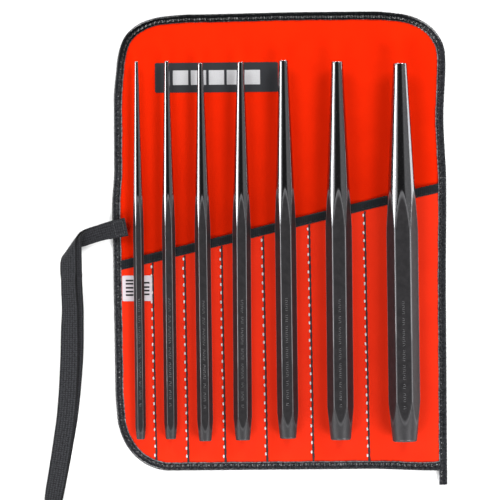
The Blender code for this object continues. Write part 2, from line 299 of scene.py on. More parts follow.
def make_tape():
    """Black binding tape: a leathery grain whose raised parts carry painted highlights, fainter along
    the top, and a painted highlight along its inner edge.
    """
    look = Look("black_tape", Specular_IOR_Level=0.5)
    cells = look.node("TexVoronoi", Vector=look.place, Scale=0.95, Randomness=1.0)
    creases = look.noise(0.45, 5.0, 0.7)
    height = look.times(creases, 2.2, cells.outputs["Distance"])
    from_top = look.apart(look.x, TAPE_TOP_MM)
    # Painted highlights: the raised grain is coloured lighter, least along the top.
    painted_grain_highlight = look.ramp(from_top, 0.1, 1.0, 90, 150)
    painted_grain_highlight = look.times(painted_grain_highlight, look.ramp(height, 0.2, 1.0, 1.0, 2.1))
    # Painted highlight: a pale line along the tape's inner edge, faintest along the top.
    edge = look.times(look.ramp(look.y, 1.0, 0.0, 0.3, 0.9), look.ramp(creases, 0.1, 1.0, 0.35, 0.65))
    edge = look.times(edge, look.ramp(from_top, 0.1, 1.0, 90, 170))
    colour = look.mix(painted_grain_highlight, (0.0012, 0.0014, 0.0018), (0.019, 0.0195, 0.0225))
    colour = look.mix(edge, colour, (0.16, 0.165, 0.175))
    roughness = look.ramp(creases, 0.14, 0.24, 0.3, 0.7)
    return look.finish(colour, height, 0.12, 0.4, Roughness=roughness)


def make_hem_tape():
    """Flat black ribbon: fine ribs across, almost matt."""
    look = Look("hem_tape", Specular_IOR_Level=0.2, Roughness=0.5)
    height = look.times(look.stripes(0.24, 0.9), 0.5, look.noise(0.9))
    worn = look.rise(height, 0.4, 1.1)
    colour = look.mix(worn, (0.0015, 0.0022, 0.0035), (0.008, 0.0095, 0.012))
    return look.finish(colour, height, 0.12, 0.8)


def make_webbing(name, dark, pale):
    """Cotton webbing: a fine plain weave of crossing yarns, with painted shade darkening its two edges.
    """
    look = Look(
        name, Roughness=0.85, Specular_IOR_Level=0.15, Sheen_Weight=0.08, Sheen_Roughness=0.5
    )
    fuzz = look.noise(0.7, 4.0, 0.75)
    height = look.times(look.weave(0.21, 0.17, 0.8), 0.35, fuzz)
    colour = look.mix(look.rise(height, 0.35, 0.85), dark, pale)
    # Painted shade: the webbing darkens towards both of its edges.
    across = look.maths("PINGPONG", look.y, STRAP_AROUND / 4 / MM)
    colour = look.mix(look.rise(across, 0.5, 1.1), PAINTED_EDGE_SHADE, colour)
    return look.finish(colour, height, 0.14, 0.8)


def make_thread(name, colour):
    """Twisted sewing thread."""
    look = Look(name, Roughness=0.6, Specular_IOR_Level=0.4)
    twist = look.stripes(1.2, 0.2)
    darker = tuple(0.62 * part for part in colour)
    return look.finish(look.mix(twist, darker, colour), twist, 0.05, 0.6)


PRINT_EDGE = 0.12


def make_patch(centre):
    """A charcoal patch printed with a row of five blank tiles."""
    look = Look("charcoal_patch", Roughness=0.55, Specular_IOR_Level=0.35)
    tiles = look.boxes(centre, [(12.4 * number, 0.0, 5.3, 5.0) for number in range(-2, 3)])
    fuzz = look.noise(1.8)
    print_left = look.times(tiles, look.ramp(fuzz, 0.75, 1.0, 0.25, 0.5))
    colour = look.mix(print_left, (0.010, 0.0108, 0.0135), (0.36, 0.36, 0.37))
    return look.finish(colour, fuzz, 0.04, 0.6)


def make_label(centre):
    """A white woven label with two columns of plain bars in place of its print."""
    look = Look("white_label", Roughness=0.8, Specular_IOR_Level=0.3)
    columns = ((-5.2, (-4.6, -2.2, 0.4, 3.2, 5.4)), (5.6, (-4.2, -1.6, 0.8, 3.8)))
    bars = look.boxes(centre, [(x, y, 2.6, 0.62) for x, heights in columns for y in heights])
    colour = look.mix(bars, (0.47, 0.42, 0.45), (0.006, 0.006, 0.007))
    return look.finish(colour, look.stripes(0.9, 0.3), 0.05, 0.6)


def make_steel():
    """Black oxide steel. The tapers are ground and polished, the hexagonal flats are matt."""
    look = Look("black_steel")
    ground = look.stored("ground")
    along_bar = look.node("CombineXYZ", X=look.times(look.x, 0.15), Y=look.y)
    lines = look.noise(3.5, 4.0, 0.65, along_bar.outputs["Vector"])
    blotches = look.noise(0.22, 4.0, 0.65)
    speckle = look.noise(3.0, 3.0, 0.7)
    oxide = look.mix(
        look.rise(blotches, 0.3, 0.7), (0.012, 0.0112, 0.0125), (0.021, 0.0195, 0.0215)
    )
    polish = look.mix(look.rise(lines, 0.3, 0.7), (0.30, 0.30, 0.31), (0.42, 0.42, 0.44))
    bare = look.maths("MAXIMUM", ground, look.stored("worn"))
    matt = look.maths("SUBTRACT", 1.0, ground)
    roughness = look.times(look.ramp(speckle, 0.36, 0.52, 0.3, 0.7), matt)
    polished = look.ramp(lines, 0.10, 0.19, 0.3, 0.7)
    roughness = look.times(polished, ground, roughness)
    height = look.times(lines, 0.5, look.times(speckle, matt))
    metal = look.ramp(bare, 0.45, 1.0)
    colour = look.mix(bare, oxide, polish)
    return look.finish(colour, height, 0.012, 0.7, Roughness=roughness, Metallic=metal)


# -------- the roll's plan


def smoothstep(low, high, value):
    share = np.clip((value - low) / (high - low), 0.0, 1.0)
    return share * share * (3 - 2 * share)


def travelled(points):
    """How far each point lies along a line of points."""
    steps = np.linalg.norm(np.diff(np.asarray(points, float), axis=0), axis=1)
    return np.concatenate([[0.0], np.cumsum(steps)])


def fold_x(fold, y):
    """Where a fold's line lies at a height in the plan. Folds 0 and 7 are the outer edges."""
    if fold == 0:
        return LEFT + 0.0 * y
    if fold == PANELS:
        return RIGHT + 0.0 * y
    joint = HINGES[fold - 1]
    return joint["pos_m"][0] + (y - joint["pos_m"][1]) * joint["axis"][0] / joint["axis"][1]


def middle_x(panel, y):
    """The middle line of a panel, where two strips of fabric meet."""
    return (fold_x(panel - 1, y) + fold_x(panel, y)) / 2


def strip_x(fold, share, y, inset=SHEET_INSET):
    """A place across the strip of a fold, which ends at panel middles or inside the outer edges."""
    left = middle_x(fold, y) if fold > 1 else LEFT + inset
    right = middle_x(fold + 1, y) if fold < FOLDS else RIGHT - inset
    return left + (right - left) * share


def strip_y(fold, share, edge, inset=SHEET_INSET):
    """Where the line at a share of a strip's width meets an edge, given as y over x."""
    y = 0.0
    for _ in range(4):
        y = edge(strip_x(fold, share, y, inset))
    return y


def strip_nodes(stem, fold):
    """The CAD nodes that the strip across a fold stands for. The first one also takes panel 1."""
    return [f"{stem}_{panel}" for panel in ([fold + 1] if fold > 1 else [1, 2])]


def hem_y(x):
    return HEM_MIDDLE_Y + x * tan(HEM_ANGLE)


def corner_drop(past, radius):
    """How far a round corner has left the straight edge, at a distance past the corner's start."""
    return radius - np.sqrt(np.maximum(radius**2 - np.maximum(past, 0.0) ** 2, 0.0))


def upper_edge(x):
    """The roll's top edge over x, with its two round corners."""
    left = corner_drop(LEFT + TOP_LEFT_RADIUS - x, TOP_LEFT_RADIUS)
    return TOP - left - corner_drop(x - RIGHT + TOP_RIGHT_RADIUS, TOP_RIGHT_RADIUS)


def lower_edge(x):
    return BOTTOM + corner_drop(LEFT + BOTTOM_LEFT_RADIUS - x, BOTTOM_LEFT_RADIUS)


def ripple(x, y):
    """The fabric's own slight waves, about -1 to 1."""
    u, v = x / MM, y / MM
    wave = np.sin(u * 0.071 + 1.3 * np.sin(v * 0.031 + 0.4))
    wave += 0.6 * np.sin(v * 0.063 + u * 0.024 + 2.1)
    wave += 0.35 * np.sin(u * 0.21 - v * 0.09 + 0.7)
    return wave / 1.95


def back_level(x, y):
    """Height of the back sheet's middle: flat under the binding, sagging further in."""
    side = np.minimum(x - LEFT, RIGHT - x)
    ends = np.minimum(upper_edge(x) - y, y - lower_edge(x))
    inwards = smoothstep(7 * MM, 26 * MM, np.minimum(side, ends))
    return BACK_Z + (SAG_Z - BACK_Z) * inwards + (0.10 * MM) * inwards * ripple(x, y)


def swell(x, y):
    """Zero along the rows of stitching and one in the middle of each pocket."""
    share = np.zeros_like(x)
    for panel in range(1, PANELS + 1):
        left = fold_x(panel - 1, y) + SWELL_INSET * (panel == 1)
        right = fold_x(panel, y) - SWELL_INSET * (panel == PANELS)
        here = (x >= left) & (x < right)
        share = np.where(here, (x - left) / (right - left), share)
    return np.sin(np.pi * share) ** 0.8


def pocket_level(x, y):
    """Height of the pocket sheet's middle."""
    low = back_level(x, y) + SHEET
    below_hem = (hem_y(x) - y) * cos(HEM_ANGLE)
    top = POCKET_TOP_Z - 0.45 * MM * (1 - smoothstep(6 * MM, 17 * MM, below_hem))
    above_bottom = y - lower_edge(x) - BINDING_WIDTH
    share = swell(x, y) * smoothstep(-2 * MM, 18 * MM, above_bottom)
    seam = min_seam_distance(x, y)
    pucker = 0.16 * MM * np.exp(-seam / (2.6 * MM)) * np.sin(tau * y / SEAM_PITCH)
    return low + (top - low) * share + pucker * share ** 0.3


def pocket_surface(x, y):
    """Height of the pocket sheet's upper face at one place."""
    return float(pocket_level(np.array([x]), np.array([y]))[0]) + SHEET / 2


def min_seam_distance(x, y):
    return np.min([np.abs(x - fold_x(fold, y)) for fold in STRIPS], axis=0)


# How far the soft outline strays outwards from the plan, in millimetres: (distance along the
# outline from the tail's end, shift) at each bulge and each dent.
OUTLINE_WAVE_MM = [
    (0, 0.1), (130, 0.3), (208, 1.2), (252, -0.4), (291, 1.3), (331, -2.2), (362, 0.6),
    (405, 0.6), (490, -0.4), (518, -2.4), (536, -2.1), (556, -3.3), (586, -0.8), (635, -0.6),
    (660, 1.1), (700, 0.5), (785, -0.1), (818, -1.9), (866, 0.3), (1000, 0.3), (1050, 1.9),
]
WAVE_REACH = 30.0 * MM


def wave(points):
    """Move points in the plan as the fabric strays near its outline."""
    places, normals, distances = outline(3.0 * MM)
    sizes = np.full(len(distances), OUTLINE_WAVE_MM[0][1])
    for (start, low), (end, high) in zip(OUTLINE_WAVE_MM, OUTLINE_WAVE_MM[1:]):
        sizes += (high - low) * smoothstep(start, end, distances / MM)
    shifts = normals * sizes[:, None] * MM
    moved = np.array(points, float)
    for start in range(0, len(moved), 4000):
        part = moved[start:start + 4000]
        apart = np.linalg.norm(part[:, None, :2] - places[None], axis=2)
        weights = (apart**2 + (2 * MM) ** 2) ** -2
        shift = weights @ shifts / weights.sum(axis=1, keepdims=True)
        near = 1 - smoothstep(4 * MM, WAVE_REACH, apart.min(axis=1))
        part[:, :2] += shift * near[:, None]
    return moved


def carry(piece, slot, fold=0, panel=0, replaces=()):
    """Shift a piece as the fabric strays near its outline, bake its place if it lies across a fold or
    let it ride on a panel, and hide the CAD parts it stands for.
    """
    points = np.zeros(3 * len(piece.data.vertices))
    piece.data.vertices.foreach_get("co", points)
    piece.data.vertices.foreach_set("co", wave(points.reshape(-1, 3)).ravel())
    if fold:
        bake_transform(piece)
    else:
        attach(piece, f"panel_{panel}")
    if replaces:
        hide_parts(*replaces)


# -------- the two sheets


def strip_grid(fold, low, high, level, step=1.6 * MM):
    """Points of one strip of fabric. The first and the last run out under the side bindings."""
    columns = round((strip_x(fold, 1, 0.0) - strip_x(fold, 0, 0.0)) / step) + 1
    rows = round((high(0.0) - low(0.0)) / (2 * step)) + 1
    points = np.zeros((columns, rows, 3))
    for column, share in enumerate(np.linspace(0, 1, columns)):
        y = np.linspace(strip_y(fold, share, low), strip_y(fold, share, high), rows)
        points[column, :, 0] = strip_x(fold, share, y)
        points[column, :, 1] = y
    points[..., 2] = level(points[..., 0], points[..., 1])
    return points


def add_sheet_strip(stem, fold, node_stem, material, high, level):
    grid = strip_grid(fold, lambda x: lower_edge(x) + SHEET_INSET, high, level)
    sheet = add_grid(f"{stem}_{fold}", grid, grid[..., :2] / MM, material, SHEET)
    carry(sheet, "vinyl", fold=fold, replaces=strip_nodes(node_stem, fold))


def add_sheets():
    back = make_vinyl("back_vinyl", 0.04, (0.545, 0.0125, 0.0002), (0.515, 0.0110, 0.0001))
    # The pocket vinyl's higher gloss is its own; its lighter, pinker colour than the back vinyl is
    # painted sheen.
    pocket = make_vinyl("pocket_vinyl_painted_sheen", 0.13, (0.600, 0.0185, 0.0022), (0.565, 0.0165, 0.0018))
    for fold in STRIPS:
        add_sheet_strip(
            "back_sheet", fold, "back_panel", back, lambda x: upper_edge(x) - SHEET_INSET, back_level
        )
        add_sheet_strip("pocket_sheet", fold, "pocket", pocket, lambda x: hem_y(x) - TAPE, pocket_level)


# -------- hem and binding


# The ribbon's section: depth below the sheet's upper edge and height over it, in millimetres.
HEM_PROFILE_MM = [
    (-0.45, -1.0), (-0.42, -0.45), (-0.2, -0.08), (0.15, 0.0), (0.9, 0.02), (1.9, 0.02),
    (2.9, 0.02), (3.9, 0.02), (4.7, 0.02), (5.3, 0.02), (5.6, -0.12),
]
HEM_INSET = 3.6 * MM
HEM_STEP = 1.5 * MM
HEM_STITCH_INSET = 6.5 * MM
HEM_STITCH_DEPTH = 4.3 * MM


def add_hem(tape):
    """Ribbon folded over the pocket sheet's upper edge: down its front, then flat below it."""
    for fold in STRIPS:
        start, end = (strip_x(fold, share, 0.0, HEM_INSET) for share in (0, 1))
        columns = round((end - start) / HEM_STEP) + 1
        grid = np.zeros((columns, len(HEM_PROFILE_MM), 3))
        flat = np.zeros((columns, len(HEM_PROFILE_MM), 2))
        for column, share in enumerate(np.linspace(0, 1, columns)):
            for row, (depth, lift) in enumerate(HEM_PROFILE_MM):
                down = depth * MM / cos(HEM_ANGLE)
                y = strip_y(fold, share, lambda x: hem_y(x) - down, HEM_INSET)
                x = strip_x(fold, share, y, HEM_INSET)
                grid[column, row] = (x, y, pocket_surface(x, y) + TAPE / 2 + lift * MM)
                flat[column, row] = (x / MM / cos(HEM_ANGLE), depth)
        hem = add_grid(f"hem_tape_{fold}", grid[:, ::-1], flat[:, ::-1], tape, TAPE)
        carry(hem, "binding_tape", fold=fold, replaces=strip_nodes("pocket_hem", fold))


def outline(step=0.8 * MM):
    """The outer edge, anticlockwise from the tail's end: places, outward normals, distances."""
    place, normal = np.array([RIGHT, TAIL_END]), np.array([1.0, 0.0])
    places, normals = [], []

    def add_straight(end):
        for share in np.linspace(0, 1, max(2, round(dist(place, end) / step)), endpoint=False):
            places.append(place * (1 - share) + end * share)
            normals.append(normal)

    for x, y, radius, start in (
        (RIGHT - TOP_RIGHT_RADIUS, TOP - TOP_RIGHT_RADIUS, TOP_RIGHT_RADIUS, 0),
        (LEFT + TOP_LEFT_RADIUS, TOP - TOP_LEFT_RADIUS, TOP_LEFT_RADIUS, 90),
        (LEFT + BOTTOM_LEFT_RADIUS, BOTTOM + BOTTOM_LEFT_RADIUS, BOTTOM_LEFT_RADIUS, 180),
    ):
        add_straight(np.array([x, y]) + normal * radius)
        for angle in np.radians(np.linspace(start, start + 90, round(radius * pi / 2 / step))):
            normal = np.array([cos(angle), sin(angle)])
            place = np.array([x, y]) + normal * radius
            places.append(place)
            normals.append(normal)
    end = np.array([RIGHT - BINDING_WIDTH + 0.6 * MM, BOTTOM])
    add_straight(end)
    places, normals = np.array([*places, end]), np.array([*normals, normal])
    distances = travelled(places)
    kept = np.concatenate([[True], np.diff(distances) > 1e-6])
    return places[kept], normals[kept], distances[kept]


def at_distance(path, distance):
    """Place and outward normal at a distance along the outline."""
    place, normal = (
        np.array([np.interp(distance, path[2], column) for column in rows.T]) for rows in path[:2]
    )
    return place, normal / np.linalg.norm(normal)


def crossing(path, panel, upper):
    """Distance along the outline at which it first crosses a panel's middle line."""
    places, _, distances = path
    offset = places[:, 0] - middle_x(panel, places[:, 1])
    side = (places[:-1, 1] > 0) == upper
    index = np.flatnonzero(side & (offset[:-1] * offset[1:] <= 0))[0]
    share = offset[index] / (offset[index] - offset[index + 1])
    return distances[index] + share * (distances[index + 1] - distances[index])


# The binding's middle surface: depth from the outer edge and height, in millimetres, from its
# upper inner edge over the outer fold to its lower inner edge. The last number says how much of
# the upper flange's own level a point takes.
BINDING_PROFILE_MM = [
    (5.62, 2.44, 1.0), (5.25, 2.56, 1.0), (4.6, 2.62, 1.0), (4.15, 2.58, 1.0),
    (3.85, 2.44, 1.0), (3.6, 2.36, 1.0), (3.3, 2.46, 1.0), (2.9, 2.68, 1.0),
    (2.2, 2.84, 1.0), (1.5, 2.80, 1.0), (0.95, 2.62, 0.9), (0.5, 2.25, 0.7),
    (0.28, 1.7, 0.4), (0.26, 1.1, 0.1), (0.42, 0.62, 0.0), (0.8, 0.33, 0.0),
    (1.6, 0.24, 0.0), (3.4, 0.24, 0.0), (5.6, 0.24, 0.0),
]
GROOVE_DEPTH = 3.6 * MM
GROOVE_Z = 2.36 * MM
UPPER_DROP = 0.62 * MM
PLEAT_HEIGHT = 0.72
PLEAT_STEEP = 0.34
RING_STEP = 0.45 * MM
STITCH_FREE_END = 2.0 * MM


def binding_drop(place):
    """How much lower the tape lies where it holds one sheet, above the pockets, and not two."""
    over_hem = place[1] - hem_y(place[0])
    return UPPER_DROP * float(smoothstep(-2 * MM, 10 * MM, over_hem))


def corner_share(place, normal):
    """How strongly the tape is gathered here: it is sewn round the two upper corners in pleats."""
    turn = abs(normal[0] * normal[1]) * 2
    if place[1] < 0:
        return 0.35 * turn
    return turn if place[0] > 0 else 0.5 * turn


def pleat(distance):
    """One pleat's height, -0.5 to 0.5: a short steep side and a long shallow one."""
    share = distance / EDGE_PITCH % 1.0
    return min(share / PLEAT_STEEP, (1 - share) / (1 - PLEAT_STEEP)) - 0.5


def binding_ring(path, distance):
    """One cross-section of the binding as points and as places on the flat tape."""
    place, normal = at_distance(path, distance)
    drop = binding_drop(place)
    phase = tau * distance / EDGE_PITCH
    gather = corner_share(place, normal)
    wobble = 0.10 * sin(distance / MM * 0.23) + 0.07 * sin(distance / MM * 0.61 + 1)
    points = []
    for index, (depth, height, share) in enumerate(BINDING_PROFILE_MM):
        inner = smoothstep(0.6, 3.2, depth) * (index < 12)
        lift = inner * (gather * PLEAT_HEIGHT * pleat(distance) + 0.14 * cos(phase))
        depth += inner * (0.8 * wobble + 0.22 * gather * sin(phase))
        lift += 0.5 * wobble * share * smoothstep(0.0, 1.5, depth)
        xy = place - normal * depth * MM
        points.append((*xy, height * MM - drop * share + lift * MM))
    return points, [(distance / MM, across / MM) for across in travelled(points)]


def add_binding_piece(name, path, start, end, tape, **holds):
    count = max(3, round((end - start) / RING_STEP) + 1)
    rings = [binding_ring(path, distance) for distance in np.linspace(start, end, count)]
    points, flat = (np.array([ring[part] for ring in rings]) for part in (0, 1))
    carry(add_grid(name, points, flat, tape, TAPE), "binding_tape", **holds)


# Short strokes of thread or tool marks: places along a stroke in shares of its length, and its
# width and height in shares of its radius.
STITCH_SHAPE = [
    (-0.5, 0.15, -0.9), (-0.44, 0.62, -0.35), (-0.25, 1.0, 0.1), (0.0, 1.0, 0.22),
    (0.25, 1.0, 0.1), (0.44, 0.62, -0.35), (0.5, 0.15, -0.9),
]
TICK_SHAPE = [(-0.5, 0.2, 0.0), (-0.42, 0.8, 0.0), (0.0, 1.0, 0.0), (0.42, 0.8, 0.0), (0.5, 0.2, 0.0)]
STROKE_SIDES = 6


def add_strokes(name, seats, length, radius, material, shape=STITCH_SHAPE, squash=0.8):
    """Strokes that lie flat on a surface: (place, direction) for each."""
    turns = -tau * np.arange(STROKE_SIDES) / STROKE_SIDES
    tubes = []
    for place, travel in seats:
        travel = np.asarray(travel, float) / np.linalg.norm(travel)
        ring = np.outer(np.cos(turns), np.cross(travel, UP)) + squash * np.outer(np.sin(turns), UP)
        rings = [
            np.asarray(place) + travel * along * length + UP * lift * radius + ring * radius * width
            for along, width, lift in shape
        ]
        flat = [
            [(along * length / MM + 0.3 * side, 0.4 * side) for side in range(STROKE_SIDES, -1, -1)]
            for along, _, _ in shape
        ]
        tubes.append((rings, flat))
    return add_tubes(name, tubes, material)


def add_stitches(name, seats, length, radius, thread, slot="binding_tape", **holds):
    """Stitches that dip into the fabric at both ends."""
    carry(add_strokes(name, seats, length, radius, thread), slot, **holds)


def binding_stitches(name, path, start, end, thread, **holds):
    seats = []
    for number in range(ceil(start / EDGE_PITCH), ceil(end / EDGE_PITCH)):
        distance = (number + 0.5) * EDGE_PITCH
        if start <= distance < end:
            place, normal = at_distance(path, distance)
            height = GROOVE_Z + TAPE / 2 - binding_drop(place) + 0.16 * MM
            seats.append(((*(place - normal * GROOVE_DEPTH), height), (-normal[1], normal[0], 0)))
    add_stitches(name, seats, 0.62 * EDGE_PITCH, 0.45 * MM, thread, **holds)


def add_bindings(tape, thread):
    """The tape round the outer edge, in pieces that meet at the panels' middles."""
    path = outline()
    total = path[2][-1]
    top, bottom = (
        [0.0] + [crossing(path, panel, upper) for panel in range(1, PANELS + 1)]
        for upper in (True, False)
    )
    pieces = [
        ("right_edge_tape", 0.0, top[7], dict(panel=7), ["right_binding"]),
        ("left_edge_tape", top[1], bottom[1], dict(panel=1), ["left_binding"]),
        ("bottom_edge_tape_7", bottom[7], total, dict(panel=7), []),
    ]
    for fold in STRIPS:
        after = fold + 1
        held = [f"top_binding_{after}"] if fold < FOLDS else []
        pieces.append((f"top_edge_tape_{fold}", top[after], top[fold], dict(fold=fold), held))
        held = [f"bottom_binding_{after}"]
        pieces.append((f"bottom_edge_tape_{fold}", bottom[fold], bottom[after], dict(fold=fold), held))
    for name, start, end, holds, nodes in pieces:
        add_binding_piece(name, path, start, end, tape, replaces=nodes, **holds)
        end -= STITCH_FREE_END if end == total else 0
        binding_stitches(name.replace("tape", "stitches"), path, start, end, thread, **holds)


# Each row of stitching between two pockets, from the fold's line: a bead of dark thread that
# swells at every stitch, and white loops at its left.
BEAD_RADIUS = 0.68 * MM
BEAD_SWELLING = 0.12 * MM
BEAD_HEIGHT = 0.36 * MM
LOOP_LEFT = 1.05 * MM
LOOP_WANDER = 0.3 * MM


def add_seam_bead(fold, low, high, thread):
    rings = []
    flat = []
    for y in np.arange(low, high, SEAM_PITCH / 10):
        x = fold_x(fold, y)
        level = pocket_surface(x, y) + 0.12 * MM
        half = BEAD_RADIUS + BEAD_SWELLING * cos(tau * (high - y) / SEAM_PITCH)
        rings.append([
            (x - half * cos(turn), y, level + BEAD_HEIGHT * sin(turn))
            for turn in np.radians(range(0, 360, 45))
        ])
        flat.append([(y / MM, 0.4 * side) for side in range(9)])
    bead = add_tubes(f"seam_thread_{fold}", [(rings, flat)], thread)
    carry(bead, "binding_tape", fold=fold)


def add_seams(dark, white):
    for fold in STRIPS:
        high = hem_y(fold_x(fold, hem_y(HINGES[fold - 1]["pos_m"][0])))
        high -= (HEM_WIDTH + 0.4 * MM) / cos(HEM_ANGLE)
        low = lower_edge(fold_x(fold, BOTTOM)) + BINDING_WIDTH - 0.6 * MM
        add_seam_bead(fold, low, high, dark)
        seats = []
        for number in range(int((high - low) / SEAM_PITCH)):
            y = high - (number + 0.5) * SEAM_PITCH
            wander = LOOP_WANDER * sin(number * 2.4 + fold)
            x = fold_x(fold, y) - LOOP_LEFT + 0.5 * wander
            place = (x, y + wander, pocket_surface(x, y) + 0.35 * MM)
            seats.append((place, (fold_x(fold, y + MM) - fold_x(fold, y), MM, 0.0)))
        add_stitches(f"seam_loops_{fold}", seats, 2.3 * MM, 0.58 * MM, white, "label", fold=fold)


def add_hem_stitches(thread):
    """One row of dark stitches along the hem's lower side, in a piece for each strip."""
    spacing = EDGE_PITCH * cos(HEM_ANGLE)
    travel = (cos(HEM_ANGLE), sin(HEM_ANGLE), 0)
    for fold in STRIPS:
        seats = []
        start, end = (strip_x(fold, share, 0.0, HEM_STITCH_INSET) for share in (0, 1))
        for x in spacing * np.arange(ceil(start / spacing), ceil(end / spacing)):
            y = hem_y(x) - HEM_STITCH_DEPTH / cos(HEM_ANGLE)
            seats.append(((x, y, pocket_surface(x, y) + TAPE + 0.02 * MM), travel))
        name = f"hem_stitches_{fold}"
        add_stitches(name, seats, 0.7 * EDGE_PITCH, 0.22 * MM, thread, fold=fold)


# -------- patch and label


PLATE_THICKNESS = 0.24 * MM
PLATE_LIFT = SHEET / 2 + 0.13 * MM


def add_plate(name, low, high, sides, eased, level, material):
    """A thin plate on a sheet, between two side lines. Eased columns are shorter at both ends."""
    left, right = sides(0.0)
    columns, rows = (max(4, round(size / MM) + 1) for size in (right - left, high.y - low.y))
    points = np.zeros((columns, rows, 3))
    points[..., 1] = np.linspace(low.y, high.y, rows)
    left, right = sides(points[0, :, 1])
    points[..., 0] = left + (right - left) * np.linspace(0, 1, columns)[:, None]
    for column, ease in eased:
        points[column, :, 1] = np.linspace(low.y + ease, high.y - ease, rows)
    points[..., 2] = level(points[..., 0], points[..., 1]) + PLATE_LIFT
    return add_grid(name, points, points[..., :2] / MM, material, PLATE_THICKNESS)


def add_patch():
    boxes = [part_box(f"patch_{panel}") for panel in range(2, 6)]
    low, high = boxes[0][0], boxes[-1][1]
    material = make_patch((low + high) / 2 / MM)
    for fold in (2, 3, 4):
        first, last = fold == 2, fold == 4

        def sides(y):
            left = low.x if first else middle_x(fold, y)
            return left, high.x if last else middle_x(fold + 1, y)

        eased = [(0, 0.5 * MM)] * first + [(-1, 0.5 * MM)] * last
        patch = add_plate(f"sewn_patch_{fold}", low, high, sides, eased, back_level, material)
        carry(patch, "patch", fold=fold, replaces=[f"patch_{fold + 1}"] + ["patch_2"] * first)


def add_label():
    low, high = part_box("pocket_label")
    material = make_label((low + high) / 2 / MM)
    eased = [(0, 0.3 * MM), (-1, 0.3 * MM)]
    label = add_plate(
        "woven_label", low, high, lambda y: (low.x, high.x), eased, pocket_level, material
    )
    carry(label, "label", panel=1, replaces=["pocket_label"])


# -------- the punches

# Sizes as in the CAD, where a name without a unit is a share of the width across corners or
# flats. Each punch's width across flats comes from its node's box.
TAPER_LENGTH = 116.0 * MM
STRUCK_DIAMETER = 0.77
STRUCK_SLOPE = 0.19
STRUCK_EDGE = 0.07
POINT_EDGE = 0.3 * MM
POINT_DIAMETERS = [inch * 25.4 * MM for inch in (3/32, 1/8, 5/32, 3/16, 1/4, 5/16, 3/8)]
PUNCH_LENGTH = 10.25 * 25.4 * MM
CORNER_ROUNDING = 70
STRUCK_GROUND = 0.06
STRUCK_WORN = 0.45
SOFT_EDGE = 0.014
PINHOLE = 1e-6
MARKS_START = 23 * MM
TICK_GROUPS = (2, 5, 3, 8, 6, 9, 4, 7)
TICK_STEP = 1.35 * MM
TICK_GAP = 2.2 * MM
SECTOR_ANGLES = [-30, -29.2, -28.2, *range(-26, 27, 4), 28.2, 29.2]


def hexagon_radius(angle, across_flats):
    """Distance to a hexagon's side at an angle from the middle of a flat, its corners eased."""
    total = sum(
        np.maximum(np.cos(angle - tau * side / 6), 0.0) ** CORNER_ROUNDING for side in range(6)
    )
    return across_flats / 2 / total ** (1 / CORNER_ROUNDING)


def punch_stations(edge):
    """Distances from the struck end, close together where a taper meets the flats."""
    arches = PUNCH_LENGTH - TAPER_LENGTH
    return np.concatenate([
        np.arange(edge * 1.3, 34 * MM, 0.8 * MM),
        np.arange(34 * MM, arches - 6 * MM, 7 * MM),
        np.arange(arches - 6 * MM, arches + 40 * MM, 0.8 * MM),
        np.arange(arches + 40 * MM, PUNCH_LENGTH - 2 * MM, 5 * MM),
        [PUNCH_LENGTH - 1.5 * MM],
    ])


def punch_rings(across_flats, corners, point, angles):
    """Rings from the struck end to the point: height, radius, and how ground and how worn."""
    struck = STRUCK_DIAMETER * corners
    edge = STRUCK_EDGE * corners
    hexagon = hexagon_radius(angles, across_flats)
    soft = SOFT_EDGE * across_flats
    from_flat = np.abs((np.degrees(angles) + 30) % 60 - 30)
    corner_wear = 0.8 * smoothstep(27.0, 29.3, from_flat)
    for share in (0.0, 0.35, 0.7, 0.92):
        yield 0.0, (struck / 2 - edge) * share + PINHOLE, STRUCK_GROUND, 0.0
    for turn in np.radians(np.linspace(0, 90, 6)):
        radius = struck / 2 - edge * (1 - sin(turn))
        yield edge * (1 - cos(turn)), radius, STRUCK_GROUND, 0.0
    for height in punch_stations(edge):
        short = (struck + STRUCK_SLOPE * (height - edge)) / 2
        long = (point + (corners - point) / TAPER_LENGTH * (PUNCH_LENGTH - height)) / 2
        cone = min(short, long)
        near = np.maximum(soft - np.abs(cone - hexagon), 0.0)
        radius = np.minimum(cone, hexagon) - near**2 / soft / 4
        ground = smoothstep(-soft / 2, soft / 2, hexagon - cone)
        worn = np.maximum(corner_wear * (1 - ground), 0.4 * near / soft)
        if short < long:
            ground = ground * STRUCK_GROUND
            worn = worn * STRUCK_WORN
        yield height, radius, ground, worn
    for turn in np.radians(np.linspace(0, 90, 4)):
        radius = point / 2 - POINT_EDGE * (1 - cos(turn))
        yield PUNCH_LENGTH - POINT_EDGE * (1 - sin(turn)), radius, 1.0, 0.0
    for share in (0.8, 0.4, 0.0):
        yield PUNCH_LENGTH, (point / 2 - POINT_EDGE) * share + PINHOLE, 1.0, 0.0


def finish_steel(thing, number, ground, worn):
    """Keep a steel piece's polish for each point, and let it ride on its punch."""
    for name, values in (("ground", ground), ("worn", worn)):
        values = np.broadcast_to(np.float32(values).ravel(), len(thing.data.vertices))
        thing.data.attributes.new(name, "FLOAT", "POINT").data.foreach_set("value", values)
    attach(thing, f"punch_{number}")


